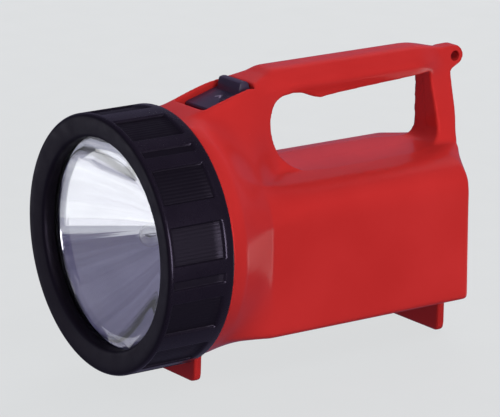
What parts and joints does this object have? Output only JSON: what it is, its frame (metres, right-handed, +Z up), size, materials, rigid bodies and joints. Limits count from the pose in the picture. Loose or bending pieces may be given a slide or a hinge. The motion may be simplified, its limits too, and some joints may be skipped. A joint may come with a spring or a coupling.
{
  "type": "hand lantern torch",
  "caption": "Hand-carried battery lantern torch with a closed-loop handle, a slide switch, a screw-on grip ring, a flat lens over a bowl reflector, and two feet.",
  "frame": {"origin": "on the surface the torch stands on, under the middle of its bounding box", "axes": "+Z up; -Y the way the lamp shines, along the lamp axis; +Y towards the lanyard ear; +X the torch's left as its user holds it"},
  "size_m": [0.124, 0.2106, 0.142],
  "materials": {
    "red_plastic": "gloss",
    "black_plastic": "satin",
    "grey_plastic": "satin",
    "clear_plastic": "clear",
    "rubber": "matte",
    "silvered": "mirror",
    "bulb_glass": "clear",
    "brass": "polished",
    "spring_steel": "satin",
    "white_plastic": "matte",
    "board": "matte",
    "battery_case": "matte",
    "red_lead": "satin"
  },
  "bodies": {
    "housing": {"battery_case": "battery_case", "battery_lead": "red_lead", "battery_spring_centre": "spring_steel", "battery_spring_corner": "spring_steel", "centre_contact": "brass", "contact_board": "board", "contact_rivet": "brass", "corner_contact": "brass", "fixed_contact_front": "brass", "fixed_contact_rear": "brass", "housing_left": "red_plastic", "housing_right": "red_plastic", "lamp_spring": "spring_steel", "rear_pad": "rubber", "side_contact": "brass", "switch_carrier": "white_plastic"},
    "lamp_unit": {"lens": "clear_plastic", "lens_gasket": "rubber", "reflector": "silvered", "bulb_glass": "bulb_glass", "bulb_base": "brass", "bulb_holder": "white_plastic", "holder_nut": "white_plastic"},
    "bezel": {"bezel_ring": "black_plastic"},
    "switch": {"switch_slider": "grey_plastic", "switch_bridge": "brass"}
  },
  "joints": [
    {"name": "lamp_unit_slide", "type": "slide", "parent": "housing", "child": "lamp_unit", "axis": [0, -1, 0], "range_m": [0, 0.006]},
    {"name": "bezel_unscrew", "type": "hinge", "parent": "lamp_unit", "child": "bezel", "pos_m": [0, -0.08755, 0.069], "axis": [0, -1, 0], "range_deg": [0, 720]},
    {"name": "switch_slide", "type": "slide", "parent": "housing", "child": "switch", "axis": [0, -0.9632, -0.2689], "range_m": [0, 0.005]}
  ],
  "couplings": [
    {"joint": "lamp_unit_slide", "follows": "bezel_unscrew", "m_per_rad": 0.00047746}
  ]
}
